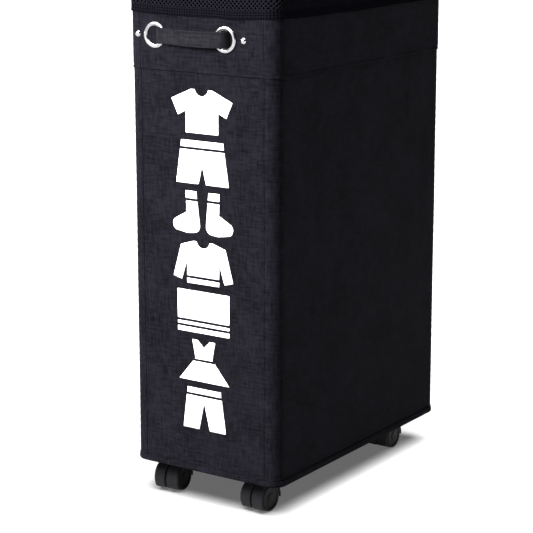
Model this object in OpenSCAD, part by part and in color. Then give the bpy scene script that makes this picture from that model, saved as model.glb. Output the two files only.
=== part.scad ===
// Slim rolling laundry hamper: a black fabric bag on a board with four twin-wheel casters.
// Millimetres. +Z is up, the front face looks along -Y, +X is to the right of it.
// The origin is on the floor, under the middle of the bag.

/* [Bag] */
// Width of the fabric body, left to right
body_w = 190; // [180:1:240]
// Depth of the fabric body, front to back
body_d = 340; // [300:1:440]
// Height from the floor to the top of the folded collar
total_h = 580; // [560:1:660]
// Radius of the upright corners of the bag
corner_r = 14; // [10:1:16]
// Height of the seam under the top band, above the floor
band_seam_z = 471; // [440:1:480]
// Length of mesh that hangs down outside the rim
collar_drop = 49; // [30:1:55]
// Height of the solid hem along the collar's free edge
hem_h = 10; // [6:1:14]

/* [Walls] */
// Thickness of the outer fabric
skin_t = 1.2; // [0.8:0.1:1.6]
// Thickness of the stiffening boards
board_t = 2; // [1.5:0.1:2.5]
// Thickness of the inner lining
lining_t = 0.8; // [0.6:0.1:1]
// Thickness of the folded band round the top
band_t = 1.2; // [1:0.1:1.6]
// Side of the square corner cell that holds a support rod
sleeve_cell = 16.5; // [16:0.5:18]

/* [Base] */
// Height of the bag's underside above the floor
clearance = 36; // [36:1:40]
// Thickness of the base board
base_t = 6; // [5:0.5:8]
// Thickness of the padded floor insert
insert_t = 10; // [9:0.5:12]
// Height of the binding tape round the bottom edge
binding_h = 6; // [5:0.5:8]

/* [Frame] */
// Diameter of each upright support rod
rod_d = 6; // [5:0.5:6]
// Diameter of the wire of the rim hoop
hoop_d = 3; // [2.5:0.1:3]

/* [Handles] */
// Sideways offset of each handle from the middle of its wall
handle_x = -14; // [-16:1:0]
// Height of the eyelets above the floor
handle_z = 508; // [495:1:510]
// Distance between the two eyelets of a handle
eyelet_pitch = 90; // [84:1:94]
// Distance between the two rivets of a handle
rivet_pitch = 135; // [133:1:137]
// Outer diameter of an eyelet flange
eyelet_od = 28; // [27:0.5:29]
// Bore of an eyelet
eyelet_id = 18.6; // [18.4:0.1:19]
// Width of the strap
strap_w = 17; // [15:0.5:17]
// Thickness of the strap
strap_t = 2; // [1.6:0.1:2.2]
// Gap between the strap and the wall
finger_gap = 7; // [6:0.5:8]

/* [Casters] */
// Wheel diameter
wheel_d = 30; // [29:0.5:30]
// Width of one wheel of the pair
wheel_w = 11.8; // [11:0.1:12]
// Gap between the two wheels of a caster
wheel_gap = 7; // [6.8:0.1:7.4]
// Distance from the swivel axis back to the axle
trail = 20; // [20:0.5:21]
// Sideways distance of each swivel axis from the middle
caster_x = 60; // [52:1:62]
// Front to back distance of each swivel axis from the middle
caster_y = 129; // [110:1:130]
// Rest angle of the front left caster
angle_front_left = 4; // [-20:1:20]
// Rest angle of the front right caster
angle_front_right = -4; // [-20:1:20]
// Rest angle of the back left caster
angle_back_left = 7; // [-20:1:20]
// Rest angle of the back right caster
angle_back_right = 1; // [-20:1:20]

/* [Print] */
// Width of the printed column
print_w = 79; // [60:1:90]
// Height of the top of the printed column above the floor
print_top_z = 454; // [440:1:460]
// Distance from one printed picture to the next
print_pitch = 54; // [50:1:54]

/* [Hidden] */
$fn = 48;

fabric = [0.09, 0.09, 0.1];
mesh_black = [0.04, 0.04, 0.05];
board_grey = [0.45, 0.45, 0.46];
steel = [0.75, 0.76, 0.78];
plastic = [0.13, 0.13, 0.14];
white = [0.96, 0.96, 0.96];

half_w = body_w / 2;
half_d = body_d / 2;
panel_z = clearance + skin_t;            // underside of the walls and of the base board
board_top = panel_z + base_t;            // top of the base board
insert_top = board_top + insert_t;       // the floor that the laundry lies on
collar_t = 4;                            // thickness of the gathered mesh over the rim
rim_z = total_h - collar_t;              // top of the fabric rim
rim_cap_t = 1.5;                         // thickness of the fabric over the rim
wall_top = rim_z - 8;                    // top of the panels, boards and sleeves
hoop_z = wall_top + 3.5;                 // height of the rim hoop's centreline
hem_z = total_h - collar_drop;           // lower edge of the collar
wall_t = skin_t + board_t + lining_t;
inner_w = half_w - wall_t;               // inside face of the lining, sideways
inner_d = half_d - wall_t;               // inside face of the lining, front and back
sleeve_round = 5;                        // rounding of the sleeve on its inside
sleeve_bore_r = rod_d / 2 + 1.4;
rod_inset = 10.2;                        // rod axis from each outer face
rod_x = half_w - rod_inset;
rod_y = half_d - rod_inset;
socket_r = sleeve_bore_r - 0.1;
socket_h = 15;
socket_floor = 3;
rod_fit = 0.05;
hoop_inset = 1.6;                        // hoop centreline from the outer face
clip_h = 9;
mesh_gap = 0.2;                          // gap between the band and the hanging collar
mesh_t = 1.4;
hem_t = 1.8;
collar_inner_drop = 20;                  // mesh sewn down inside the rim

front_face = half_d + band_t;            // outer face of the band, measured from the middle
strap_face = front_face + finger_gap;    // inner face of the strap
eyelet_r = eyelet_id / 2;
barrel_t = 0.9;
flange_t = 1.6;
washer_t = 1.2;
strap_bend_r = finger_gap + strap_t / 2 - 0.8;
leg_reach = 8;                           // strap end inside the lining
rivet_head_r = 3.4;
rivet_head_h = 1.8;
rivet_shank_r = 1.4;
rivet_cap_t = 1.2;
tail_in = inner_d - strap_t;             // inner face of a strap tail at its rivet
tail_past_rivet = 6;
tail_play = 0.1;

wheel_r = wheel_d / 2;
wheel_in = wheel_gap / 2;
wheel_out = wheel_in + wheel_w;
axle_r = 2;
axle_fit = 0.05;
stem_r = 3;
stem_fit = 0.05;
thread_r = 4;
thread_fit = 0.2;
stem_collar_t = 2.2;
stem_bottom = 13.6;
thrust_gap = 0.3;                        // gap between a hood and its stem's collar
socket_low = 17;                         // underside of the hood's stem socket
socket_high = clearance - stem_collar_t - thrust_gap;
clip_z = 15.8;
clip_t = 0.8;
washer_r = 8;
nut_af = 13;
nut_h = 4;
nut_washer_t = 1.6;
fender_in = wheel_r + 1.2;
fender_t = 1.4;
fender_from = -8;                        // where the fender begins, on the stem's side
fender_to = 216;                         // where it ends, low over the trailing side
slot_half = 1.3;                         // half the slot between the two halves of a hood
rib_half = 2.9;                          // outer face of the ribs beside the slot

CORNERS = [[-1, -1], [1, -1], [-1, 1], [1, 1]];
CASTERS = [
    [-caster_x, -caster_y, angle_front_left],
    [caster_x, -caster_y, angle_front_right],
    [-caster_x, caster_y, angle_back_left],
    [caster_x, caster_y, angle_back_right]
];

// ---------- outlines ----------

function arc(c, r, a0, a1, n = 8) =
    [for (i = [0:n]) let (a = a0 + (a1 - a0) * i / n) [c[0] + r * cos(a), c[1] + r * sin(a)]];

// Rounded rectangle, grown outwards from the body's own outline by g
function body_outline(g) =
    let (x = half_w - corner_r, y = half_d - corner_r, r = corner_r + g)
    concat(arc([x, y], r, 0, 90), arc([-x, y], r, 90, 180),
           arc([-x, -y], r, 180, 270), arc([x, -y], r, 270, 360));

// Corner cell of one sleeve in the quadrant s, grown towards the inside by g
function cell_outline(s, g = 0) =
    let (x = half_w - sleeve_cell, y = half_d - sleeve_cell, far = 30,
         pts = concat(arc([x + sleeve_round, y + sleeve_round], sleeve_round + g, 180, 270),
                      [[half_w + far, y - g], [half_w + far, half_d + far], [x - g, half_d + far]]))
    [for (p = pts) [p[0] * s[0], p[1] * s[1]]];

module slab(points, z0, z1) {
    translate([0, 0, z0]) linear_extrude(z1 - z0) polygon(points);
}

// Wall between two outlines of the body
module body_ring(outer, inner, z0, z1) {
    difference() {
        slab(body_outline(outer), z0, z1);
        slab(body_outline(inner), z0 - 1, z1 + 1);
    }
}

// The space inside the boards and sleeves, taken in by g
module inside_space(g, z0, z1) {
    x = half_w - skin_t - board_t - g;
    y = half_d - skin_t - board_t - g;
    difference() {
        translate([-x, -y, z0]) cube([2 * x, 2 * y, z1 - z0]);
        for (s = CORNERS) slab(cell_outline(s, g), z0 - 1, z1 + 1);
    }
}

// Children once at the front and once, turned half round, at the back
module both_ends() {
    children();
    rotate([0, 0, 180]) children();
}

// Children at both eyelets (pitch) or both rivets of the front handle, with the outside along +Z
module on_front(pitch, y) {
    for (s = [-1, 1])
        translate([handle_x + s * pitch / 2, -y, handle_z]) rotate([90, 0, 0]) children();
}

// Holes through the front wall for the eyelet barrels and the rivet shanks
module handle_holes() {
    on_front(eyelet_pitch, half_d - 20) cylinder(r = eyelet_r + barrel_t, h = 40);
    on_front(rivet_pitch, half_d - 20) cylinder(r = rivet_shank_r, h = 40);
}

// The same holes at both ends, and the slots in which the strap tails lie where they enter a sleeve
module tail_slots() {
    both_ends() {
        handle_holes();
        on_front(rivet_pitch, tail_in - rivet_cap_t - tail_play)
            translate([-tail_past_rivet - tail_play, -strap_w / 2 - tail_play, 0])
                cube([2 * (tail_past_rivet + tail_play), strap_w + 2 * tail_play,
                      strap_t + rivet_cap_t + tail_play]);
    }
}

module at_casters() {
    for (c = CASTERS) translate([c[0], c[1], 0]) rotate([0, 0, c[2]]) children();
}

module at_caster(i) {
    translate([CASTERS[i][0], CASTERS[i][1], 0]) rotate([0, 0, CASTERS[i][2]]) children();
}

// ---------- base ----------

module stem_holes(r) {
    for (c = CASTERS) translate([c[0], c[1], clearance - 10]) cylinder(r = r, h = 60);
}

module base_board() {
    color(board_grey) difference() {
        inside_space(0, panel_z, board_top);
        stem_holes(thread_r + thread_fit);
    }
}

module bottom_panel() {
    color(fabric) difference() {
        slab(body_outline(0), clearance, panel_z);
        stem_holes(thread_r + thread_fit);
    }
}

module bottom_binding() {
    lip_t = 0.8;
    lip_w = 5;
    color(fabric) {
        body_ring(skin_t, 0, clearance - lip_t, clearance + binding_h);
        body_ring(0, -lip_w, clearance - lip_t, clearance);
    }
}

// Padded board that lies loose on the floor of the bag and hides the caster nuts
module floor_insert() {
    edge_gap = lining_t + 0.7;
    pocket_r = 10;
    pocket_h = 7;
    color(fabric) difference() {
        inside_space(edge_gap, board_top, insert_top);
        for (c = CASTERS) translate([c[0], c[1], board_top - 1]) cylinder(r = pocket_r, h = pocket_h + 1);
    }
}

// ---------- walls ----------

module end_panel() {
    x = half_w - sleeve_cell;
    difference() {
        translate([-x, -half_d, panel_z]) cube([2 * x, skin_t, wall_top - panel_z]);
        handle_holes();
    }
}

module end_stiffener() {
    x = half_w - sleeve_cell;
    difference() {
        translate([-x, -half_d + skin_t, panel_z]) cube([2 * x, board_t, wall_top - panel_z]);
        handle_holes();
    }
}

module side_panel() {
    y = half_d - sleeve_cell;
    translate([half_w - skin_t, -y, panel_z]) cube([skin_t, 2 * y, wall_top - panel_z]);
}

module side_stiffener() {
    y = half_d - sleeve_cell;
    translate([half_w - skin_t - board_t, -y, panel_z]) cube([board_t, 2 * y, wall_top - panel_z]);
}

module front_panel() color(fabric) end_panel();
module back_panel() color(fabric) rotate([0, 0, 180]) end_panel();
module right_panel() color(fabric) side_panel();
module left_panel() color(fabric) rotate([0, 0, 180]) side_panel();
module front_stiffener() color(board_grey) end_stiffener();
module back_stiffener() color(board_grey) rotate([0, 0, 180]) end_stiffener();
module right_stiffener() color(board_grey) side_stiffener();
module left_stiffener() color(board_grey) rotate([0, 0, 180]) side_stiffener();

// Upright sleeves for the rods
module corner_sleeves() {
    color(fabric) for (s = CORNERS) difference() {
        intersection() {
            slab(body_outline(0), panel_z, wall_top);
            slab(cell_outline(s), panel_z, wall_top);
        }
        translate([s[0] * rod_x, s[1] * rod_y, panel_z - 1])
            cylinder(r = sleeve_bore_r, h = wall_top - panel_z + 2);
        tail_slots();
    }
}

module lining() {
    color(fabric) difference() {
        inside_space(0, board_top, rim_z - rim_cap_t);
        inside_space(lining_t, board_top - 1, rim_z);
        tail_slots();
    }
}

// Folded band round the top, closed over the rim
module top_band() {
    color(fabric) difference() {
        union() {
            body_ring(band_t, 0, band_seam_z, rim_z);
            difference() {
                slab(body_outline(0), rim_z - rim_cap_t, rim_z);
                inside_space(lining_t, rim_z - rim_cap_t - 1, rim_z + 1);
            }
        }
        both_ends() handle_holes();
    }
}

// ---------- collar ----------

// Mesh sewn inside the rim, folded over it and hanging outside
module mesh_collar() {
    outer = band_t + mesh_gap + mesh_t;
    color(mesh_black) {
        difference() {
            slab(body_outline(outer), hem_z + hem_h, total_h);
            slab(body_outline(band_t + mesh_gap), hem_z, rim_z);
            inside_space(lining_t + mesh_t, hem_z, total_h + 1);
        }
        difference() {
            inside_space(lining_t, rim_z - collar_inner_drop, rim_z);
            inside_space(lining_t + mesh_t, rim_z - collar_inner_drop - 1, rim_z + 1);
        }
    }
}

module collar_hem() {
    color(mesh_black) body_ring(band_t + mesh_gap + hem_t, band_t + mesh_gap, hem_z, hem_z + hem_h);
}

// ---------- print ----------

// Each picture is an outline and its cut-outs in a box 79 wide and 46 high about its middle
shirt = [[-14, 23], [-39, 12], [-31, -5], [-21, 0], [-21, -23], [21, -23], [21, 0], [31, -5], [39, 12], [14, 23]];
shorts = [[-27, 23], [27, 23], [34, -23], [5, -23], [0, -3], [-5, -23], [-34, -23]];
sock = concat([[8, 23], [22, 23], [21, 0]], arc([32, -14], 7, 50, -90, 10), [[20, -23]],
              arc([12, -14], 8, -100, -190, 6));
jumper = [[-13, 23], [-29, 18], [-39, -17], [-28, -20], [-21, 2], [-21, -23], [21, -23], [21, 2], [28, -20],
          [39, -17], [29, 18], [13, 23]];
towel = [[-34, 23], [34, 23], [34, -23], [-34, -23]];
dress = [[-15, 23], [-8, 23], [0, 15], [8, 23], [15, 23], [11, 3], [33, -23], [-33, -23], [-11, 3]];
trousers = [[-22, 23], [22, 23], [28, -23], [7, -23], [0, 8], [-7, -23], [-28, -23]];
neck = arc([0, 25], 9, 0, -180, 10);

function strip(x0, x1, z0, z1) = [[x0, z0], [x1, z0], [x1, z1], [x0, z1]];

PICTURES = [
    [shirt, [neck]],
    [shorts, [strip(-40, 40, 13, 16)]],
    [sock, [strip(0, 40, 12, 15)]],
    [jumper, [neck, strip(-21.5, 21.5, -18, -15)]],
    [towel, [strip(-40, 40, -12, -9), strip(-40, 40, -18, -15)]],
    [dress, [strip(-14, 14, -1, 2)]],
    [trousers, [strip(-40, 40, 14, 17)]]
];
picture_box = [79, 46];
pair = 2;                                // the picture that is drawn twice, as a left and a right sock
ink_t = 0.3;

module picture(i) {
    difference() {
        polygon(PICTURES[i][0]);
        for (cut = PICTURES[i][1]) polygon(cut);
    }
}

module printed_pictures() {
    k = print_w / picture_box[0];
    color(white) for (i = [0:len(PICTURES) - 1])
        translate([0, -half_d, print_top_z - picture_box[1] / 2 * k - i * print_pitch]) rotate([90, 0, 0])
            scale(k) linear_extrude(ink_t / k) {
                picture(i);
                if (i == pair) mirror([1, 0]) picture(i);
            }
}

// ---------- frame ----------

module rim_hoop() {
    x = half_w - corner_r;
    y = half_d - corner_r;
    r = corner_r - hoop_inset;
    color(steel) translate([0, 0, hoop_z]) {
        for (a = [0, 180]) rotate([0, 0, a]) {
            translate([-x, -y - r, 0]) rotate([0, 90, 0]) cylinder(d = hoop_d, h = 2 * x);
            translate([x + r, -y, 0]) rotate([-90, 0, 0]) cylinder(d = hoop_d, h = 2 * y);
            translate([x, y, 0]) rotate_extrude(angle = 90) translate([r, 0]) circle(d = hoop_d);
            translate([x, -y, 0]) rotate([0, 0, -90]) rotate_extrude(angle = 90) translate([r, 0]) circle(d = hoop_d);
        }
    }
}

rod_bottom = panel_z + socket_floor;
rod_top = wall_top - 3;

module support_rod(i) {
    color(steel) translate([CORNERS[i][0] * rod_x, CORNERS[i][1] * rod_y, rod_bottom])
        cylinder(d = rod_d, h = rod_top - rod_bottom);
}

// Cup at the foot of each rod
module rod_sockets() {
    color(plastic) for (s = CORNERS) translate([s[0] * rod_x, s[1] * rod_y, panel_z]) difference() {
        cylinder(r = socket_r, h = socket_h);
        translate([0, 0, socket_floor]) cylinder(r = rod_d / 2 + rod_fit, h = socket_h);
    }
}

// Cap on the top of each rod, with a finger that carries the hoop
module hoop_clips() {
    reach = corner_r - hoop_inset;
    finger_h = 1.9;
    color(plastic) for (i = [0:3]) let (s = CORNERS[i]) {
        translate([s[0] * rod_x, s[1] * rod_y, wall_top - clip_h]) difference() {
            cylinder(r = socket_r, h = clip_h);
            translate([0, 0, -1]) cylinder(r = rod_d / 2 + rod_fit, h = clip_h - 3 + 1);
        }
        translate([s[0] * rod_x, s[1] * rod_y, wall_top])
            rotate([0, 0, atan2(s[1], s[0])])
                translate([-socket_r, -2, 0]) cube([socket_r + 6.4, 4, finger_h]);
    }
}

// ---------- handles ----------

// Rolled metal ring with its barrel through the wall
module eyelet() {
    flange_r = eyelet_od / 2;
    mid = (eyelet_r + flange_r) / 2;
    half = (flange_r - eyelet_r) / 2;
    depth = wall_t + band_t + washer_t;
    crown = [for (i = [0:10]) let (a = 180 * i / 10) [mid + half * cos(a), flange_t * sin(a)]];
    rotate_extrude() polygon(concat([[eyelet_r + barrel_t, 0], [eyelet_r + barrel_t, -depth], [eyelet_r, -depth]],
                                    [for (i = [10:-1:0]) crown[i]]));
}

module end_eyelets() {
    on_front(eyelet_pitch, front_face) eyelet();
}

module front_eyelets() color(steel) end_eyelets();
module back_eyelets() color(steel) rotate([0, 0, 180]) end_eyelets();

module eyelet_washers() {
    color(steel) both_ends() on_front(eyelet_pitch, inner_d - washer_t) difference() {
        cylinder(d = eyelet_od - 2, h = washer_t);
        translate([0, 0, -1]) cylinder(r = eyelet_r + barrel_t, h = washer_t + 2);
    }
}

module dome(r, h) {
    ball = (r * r + h * h) / (2 * h);
    intersection() {
        translate([0, 0, h - ball]) sphere(r = ball);
        translate([-r, -r, 0]) cube([2 * r, 2 * r, h + 1]);
    }
}

module handle_rivets() {
    color(steel) both_ends() on_front(rivet_pitch, front_face) {
        dome(rivet_head_r, rivet_head_h);
        translate([0, 0, -(front_face - tail_in)]) cylinder(r = rivet_shank_r, h = front_face - tail_in);
    }
}

module rivet_caps() {
    color(steel) both_ends() on_front(rivet_pitch, tail_in - rivet_cap_t)
        cylinder(r = rivet_head_r, h = rivet_cap_t);
}

// Strap end that is riveted inside the wall, one each side of a handle
module strap_tails() {
    eye = eyelet_pitch / 2;
    far = rivet_pitch / 2 + tail_past_rivet;
    step = inner_d - washer_t - 0.2;
    color(fabric) both_ends() for (s = [-1, 1])
        difference() {
            translate([handle_x, 0, handle_z - strap_w / 2]) linear_extrude(strap_w)
                polygon([for (p = [[far, inner_d], [eye + 16, inner_d], [eye + 13.2, step], [eye + 2.5, step],
                                   [eye + 2.5, step - strap_t], [eye + 13.2, step - strap_t],
                                   [eye + 16, tail_in], [far, tail_in]]) [s * p[0], -p[1]]]);
            on_front(rivet_pitch, half_d - 20) cylinder(r = rivet_shank_r, h = 40);
        }
}

// The strap from one eyelet to the other, with its legs through the eyelet bores
module handle_strap() {
    eye = eyelet_pitch / 2;
    out = strap_face + strap_t;
    r_in = strap_bend_r - strap_t / 2;
    r_out = strap_bend_r + strap_t / 2;
    bend_x = eye - strap_bend_r;
    bend_y = -(out - r_out);
    leg_y = -(inner_d - leg_reach);
    right = concat([[eye - strap_t / 2, leg_y]], arc([bend_x, bend_y], r_in, 0, -90),
                   [for (i = [8:-1:0]) arc([bend_x, bend_y], r_out, 0, -90)[i]], [[eye + strap_t / 2, leg_y]]);
    inner_edge = concat([right[0]], arc([bend_x, bend_y], r_in, 0, -90));
    outer_edge = concat(arc([bend_x, bend_y], r_out, -90, 0), [[eye + strap_t / 2, leg_y]]);
    mirrored = function (pts) [for (i = [len(pts) - 1:-1:0]) [-pts[i][0], pts[i][1]]];
    translate([handle_x, 0, handle_z - strap_w / 2]) linear_extrude(strap_w)
        polygon(concat(inner_edge, mirrored(inner_edge), mirrored(outer_edge), outer_edge));
}

module front_handle_strap() color(fabric) handle_strap();
module back_handle_strap() color(fabric) rotate([0, 0, 180]) handle_strap();

// ---------- casters ----------

module caster_stems() {
    thread_top = board_top + nut_washer_t + nut_h + 1;
    groove_r = stem_r - 0.6;
    color(steel) at_casters() difference() {
        union() {
            translate([0, 0, stem_bottom]) cylinder(r = stem_r, h = clearance - stem_bottom);
            translate([0, 0, clearance - stem_collar_t]) cylinder(r = washer_r, h = stem_collar_t);
            translate([0, 0, clearance - 0.1]) cylinder(r = thread_r, h = thread_top - clearance + 0.1);
        }
        translate([0, 0, clip_z]) difference() {
            cylinder(r = stem_r + 1, h = clip_t);
            translate([0, 0, -1]) cylinder(r = groove_r, h = clip_t + 2);
        }
    }
}

module stem_washers() {
    color(steel) for (c = CASTERS) translate([c[0], c[1], board_top]) difference() {
        cylinder(r = washer_r, h = nut_washer_t);
        translate([0, 0, -1]) cylinder(r = thread_r + thread_fit, h = nut_washer_t + 2);
    }
}

module stem_nuts() {
    color(steel) for (c = CASTERS) translate([c[0], c[1], board_top + nut_washer_t]) difference() {
        cylinder(d = nut_af / cos(30), h = nut_h, $fn = 6);
        translate([0, 0, -1]) cylinder(r = thread_r, h = nut_h + 2);
    }
}

// Retaining clip in each stem's groove, under the hood's socket
module stem_clips() {
    groove_r = stem_r - 0.6;
    color(steel) at_casters() translate([0, 0, clip_z]) difference() {
        cylinder(r = stem_r + 1.4, h = clip_t);
        translate([0, 0, -1]) cylinder(r = groove_r, h = clip_t + 2);
        translate([-groove_r + 0.4, 0, -1]) cube([2 * groove_r - 0.8, 6, clip_t + 2]);
    }
}

// Turned so that local X runs across the wheels and the outline lies in the Y-Z plane
module across(half) {
    rotate([90, 0, 90]) translate([0, 0, -half]) linear_extrude(2 * half) children();
}

// Turned about the axle: local Z runs across the wheels, to the right
module on_axle() {
    translate([0, -trail, wheel_r]) rotate([0, 90, 0]) children();
}

// Fender over one wheel: a curved shell with a rounded outer edge
module fender() {
    edge_r = 2.5;
    top = fender_in + fender_t;
    edge = [top - edge_r, wheel_out - edge_r + 0.1];
    shell = concat([[fender_in, slot_half], [top, slot_half]], arc(edge, edge_r, 0, 60, 6),
                   arc(edge, edge_r - fender_t, 60, 0, 4));
    on_axle() rotate([0, 0, 90 + fender_from]) rotate_extrude(angle = fender_to - fender_from) polygon(shell);
}

// Hood: stem socket, ribs down to the axle, and a fender over each wheel
module hood() {
    boss_r = 4.6;
    barrel_r = 5.4;
    flange_r = 8.5;
    clear_r = 5;
    bridge_z = 30.4;
    difference() {
        union() {
            translate([0, 0, socket_low]) cylinder(r = barrel_r, h = socket_high - socket_low);
            translate([0, 0, socket_high - 2]) cylinder(r = flange_r, h = 2);
            fender();
            mirror([1, 0, 0]) fender();
            across(rib_half) polygon(concat(
                [[-2.5, socket_low + 1], [-2.5, socket_high - 1]],
                arc([-trail, wheel_r], fender_in + 1, 75, 205, 16),
                [[-trail - 3.6, wheel_r - 2], [-trail, wheel_r - 3.6], [-trail + 4, wheel_r - 2]]));
            on_axle() translate([0, 0, -wheel_in + 0.3]) cylinder(r = boss_r, h = wheel_gap - 0.6);
        }
        translate([-slot_half, -trail - 30, -1]) cube([2 * slot_half, trail + 28, bridge_z + 1]);
        translate([0, 0, -1]) cylinder(r = clear_r, h = socket_low + 1);
        translate([0, 0, socket_low - 1]) cylinder(r = stem_r + stem_fit, h = socket_high);
        on_axle() translate([0, 0, -20]) cylinder(r = axle_r, h = 40);
    }
}

module axle() {
    half = wheel_out - 2.4;
    on_axle() translate([0, 0, -half]) cylinder(r = axle_r, h = 2 * half);
}

// One wheel: crowned tread, dished outer face and a blind bore on the inside
module wheel(side) {
    crown = 0.5;
    lip = 1.6;
    hub_r = 5.2;
    dish = 1.3;
    bore_h = wheel_w - 2.2;
    profile = concat(
        [[0, 0], [wheel_r - lip, 0]],
        arc([wheel_r - lip, lip], lip - crown, -90, 0, 5),
        [[wheel_r, wheel_w / 2]],
        arc([wheel_r - 2.2, wheel_w - 2.2], 2.2 - crown, 0, 90, 5),
        [[wheel_r - 3.4, wheel_w - crown], [wheel_r - 4.4, wheel_w - dish], [hub_r + 0.8, wheel_w - dish],
         [hub_r, wheel_w - 0.5], [0, wheel_w]]);
    translate([0, -trail, wheel_r]) rotate([0, side * 90, 0]) translate([0, 0, wheel_in]) difference() {
        rotate_extrude() polygon(profile);
        translate([0, 0, -1]) cylinder(r = axle_r + axle_fit, h = bore_h + 1);
    }
}

// ---------- nodes ----------

base_board();
bottom_panel();
bottom_binding();
floor_insert();
front_panel();
back_panel();
left_panel();
right_panel();
corner_sleeves();
front_stiffener();
back_stiffener();
left_stiffener();
right_stiffener();
lining();
top_band();
mesh_collar();
collar_hem();
printed_pictures();
rim_hoop();
support_rod(0);  // rod_front_left
support_rod(1);  // rod_front_right
support_rod(2);  // rod_back_left
support_rod(3);  // rod_back_right
rod_sockets();
hoop_clips();
front_eyelets();
back_eyelets();
eyelet_washers();
handle_rivets();
rivet_caps();
strap_tails();
front_handle_strap();
back_handle_strap();
caster_stems();
stem_washers();
stem_nuts();
stem_clips();
color(plastic) at_caster(0) hood();  // hood_front_left
color(plastic) at_caster(1) hood();  // hood_front_right
color(plastic) at_caster(2) hood();  // hood_back_left
color(plastic) at_caster(3) hood();  // hood_back_right
color(steel) at_caster(0) axle();  // axle_front_left
color(steel) at_caster(1) axle();  // axle_front_right
color(steel) at_caster(2) axle();  // axle_back_left
color(steel) at_caster(3) axle();  // axle_back_right
color(plastic) at_caster(0) wheel(-1);  // wheel_front_left_a
color(plastic) at_caster(0) wheel(1);  // wheel_front_left_b
color(plastic) at_caster(1) wheel(-1);  // wheel_front_right_a
color(plastic) at_caster(1) wheel(1);  // wheel_front_right_b
color(plastic) at_caster(2) wheel(-1);  // wheel_back_left_a
color(plastic) at_caster(2) wheel(1);  // wheel_back_left_b
color(plastic) at_caster(3) wheel(-1);  // wheel_back_right_a
color(plastic) at_caster(3) wheel(1);  // wheel_back_right_b
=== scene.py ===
import math

import bmesh
import bpy
from mathutils import Matrix, Vector, noise


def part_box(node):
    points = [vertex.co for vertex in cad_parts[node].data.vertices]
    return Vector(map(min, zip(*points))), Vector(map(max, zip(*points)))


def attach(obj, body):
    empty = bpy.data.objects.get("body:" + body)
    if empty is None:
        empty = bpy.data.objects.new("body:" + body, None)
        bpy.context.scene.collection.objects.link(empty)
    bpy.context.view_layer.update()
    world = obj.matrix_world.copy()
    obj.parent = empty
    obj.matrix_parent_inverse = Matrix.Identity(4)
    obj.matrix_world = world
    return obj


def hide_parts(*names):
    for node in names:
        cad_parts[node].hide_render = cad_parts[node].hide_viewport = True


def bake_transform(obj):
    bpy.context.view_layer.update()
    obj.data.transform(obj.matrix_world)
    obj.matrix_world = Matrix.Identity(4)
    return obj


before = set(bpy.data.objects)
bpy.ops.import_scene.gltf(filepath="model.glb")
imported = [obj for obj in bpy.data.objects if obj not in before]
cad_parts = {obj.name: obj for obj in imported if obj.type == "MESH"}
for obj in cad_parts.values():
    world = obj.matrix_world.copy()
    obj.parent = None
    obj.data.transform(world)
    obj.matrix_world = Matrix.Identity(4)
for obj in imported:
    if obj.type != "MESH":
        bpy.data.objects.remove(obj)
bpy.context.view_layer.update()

# ---------- sizes, in metres ----------

MM = 0.001
FLOOR_LOW, FLOOR_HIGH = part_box("bottom_panel")
HALF_W, HALF_D = FLOOR_HIGH.x, FLOOR_HIGH.y
BAG_Z = FLOOR_LOW.z
CORNER_R = 14 * MM
BAND_LOW, BAND_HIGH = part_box("top_band")
BAND_OUT = BAND_HIGH.x - HALF_W
SEAM_Z, RIM_Z = BAND_LOW.z, BAND_HIGH.z
TOP_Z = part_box("mesh_collar")[1].z
HEM_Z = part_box("collar_hem")[0].z
HEM_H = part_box("collar_hem")[1].z - HEM_Z
BINDING_LOW, BINDING_TOP = (corner.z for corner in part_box("bottom_binding"))
LINING_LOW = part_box("lining")[0].z
INSERT_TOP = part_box("floor_insert")[1].z
PANEL_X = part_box("front_panel")[1].x
LINING_T = 0.8 * MM
WALL_T = 4 * MM
INNER_W, INNER_D = HALF_W - WALL_T, HALF_D - WALL_T
CELL_X = PANEL_X - LINING_T
CELL_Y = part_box("right_panel")[1].y - LINING_T
CELL_R = 5.8 * MM
SIDE_SEAM_Y = HALF_D - 8 * MM
CLOTH_T = 1.0 * MM

STRAP_LOW, STRAP_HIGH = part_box("front_handle_strap")
EYELETS_LOW, EYELETS_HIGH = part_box("front_eyelets")
HANDLE_X = (STRAP_LOW.x + STRAP_HIGH.x) / 2
HANDLE_Z = (STRAP_LOW.z + STRAP_HIGH.z) / 2
EYELET_R = (EYELETS_HIGH.z - EYELETS_LOW.z) / 2
EYELET_X = (EYELETS_HIGH.x - EYELETS_LOW.x) / 2 - EYELET_R
BORE_R = 9.3 * MM
STRAP_W = 17 * MM
STRAP_T = 1.8 * MM
STRAP_OUT = -STRAP_LOW.y
BAND_FACE = HALF_D + BAND_OUT


# ---------- camera, floor and light ----------

CAMERA_AT = (1.1292, -1.7164, 0.7126)
CAMERA_TURN = (34.13, 13.14, -0.08)  # degrees of yaw, downward pitch and roll
CAMERA_LENS = 125.2


def add_camera():
    """The photograph's own viewpoint: from the right of the front, a little above the rim."""
    yaw, pitch, roll = (math.radians(turn) for turn in CAMERA_TURN)
    back = Vector((math.sin(yaw) * math.cos(pitch), -math.cos(yaw) * math.cos(pitch), math.sin(pitch)))
    right = Vector((math.cos(yaw), math.sin(yaw), 0))
    up = back.cross(right)
    right, up = (math.cos(roll) * right + math.sin(roll) * up, math.cos(roll) * up - math.sin(roll) * right)
    camera = bpy.data.objects.new("camera", bpy.data.cameras.new("camera"))
    camera.data.lens = CAMERA_LENS
    camera.data.sensor_width = 36
    camera.data.clip_end = 100
    camera.matrix_world = Matrix.Translation(CAMERA_AT) @ Matrix(
        (right, up, back)).transposed().to_4x4()
    bpy.context.scene.collection.objects.link(camera)
    bpy.context.scene.camera = camera


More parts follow.
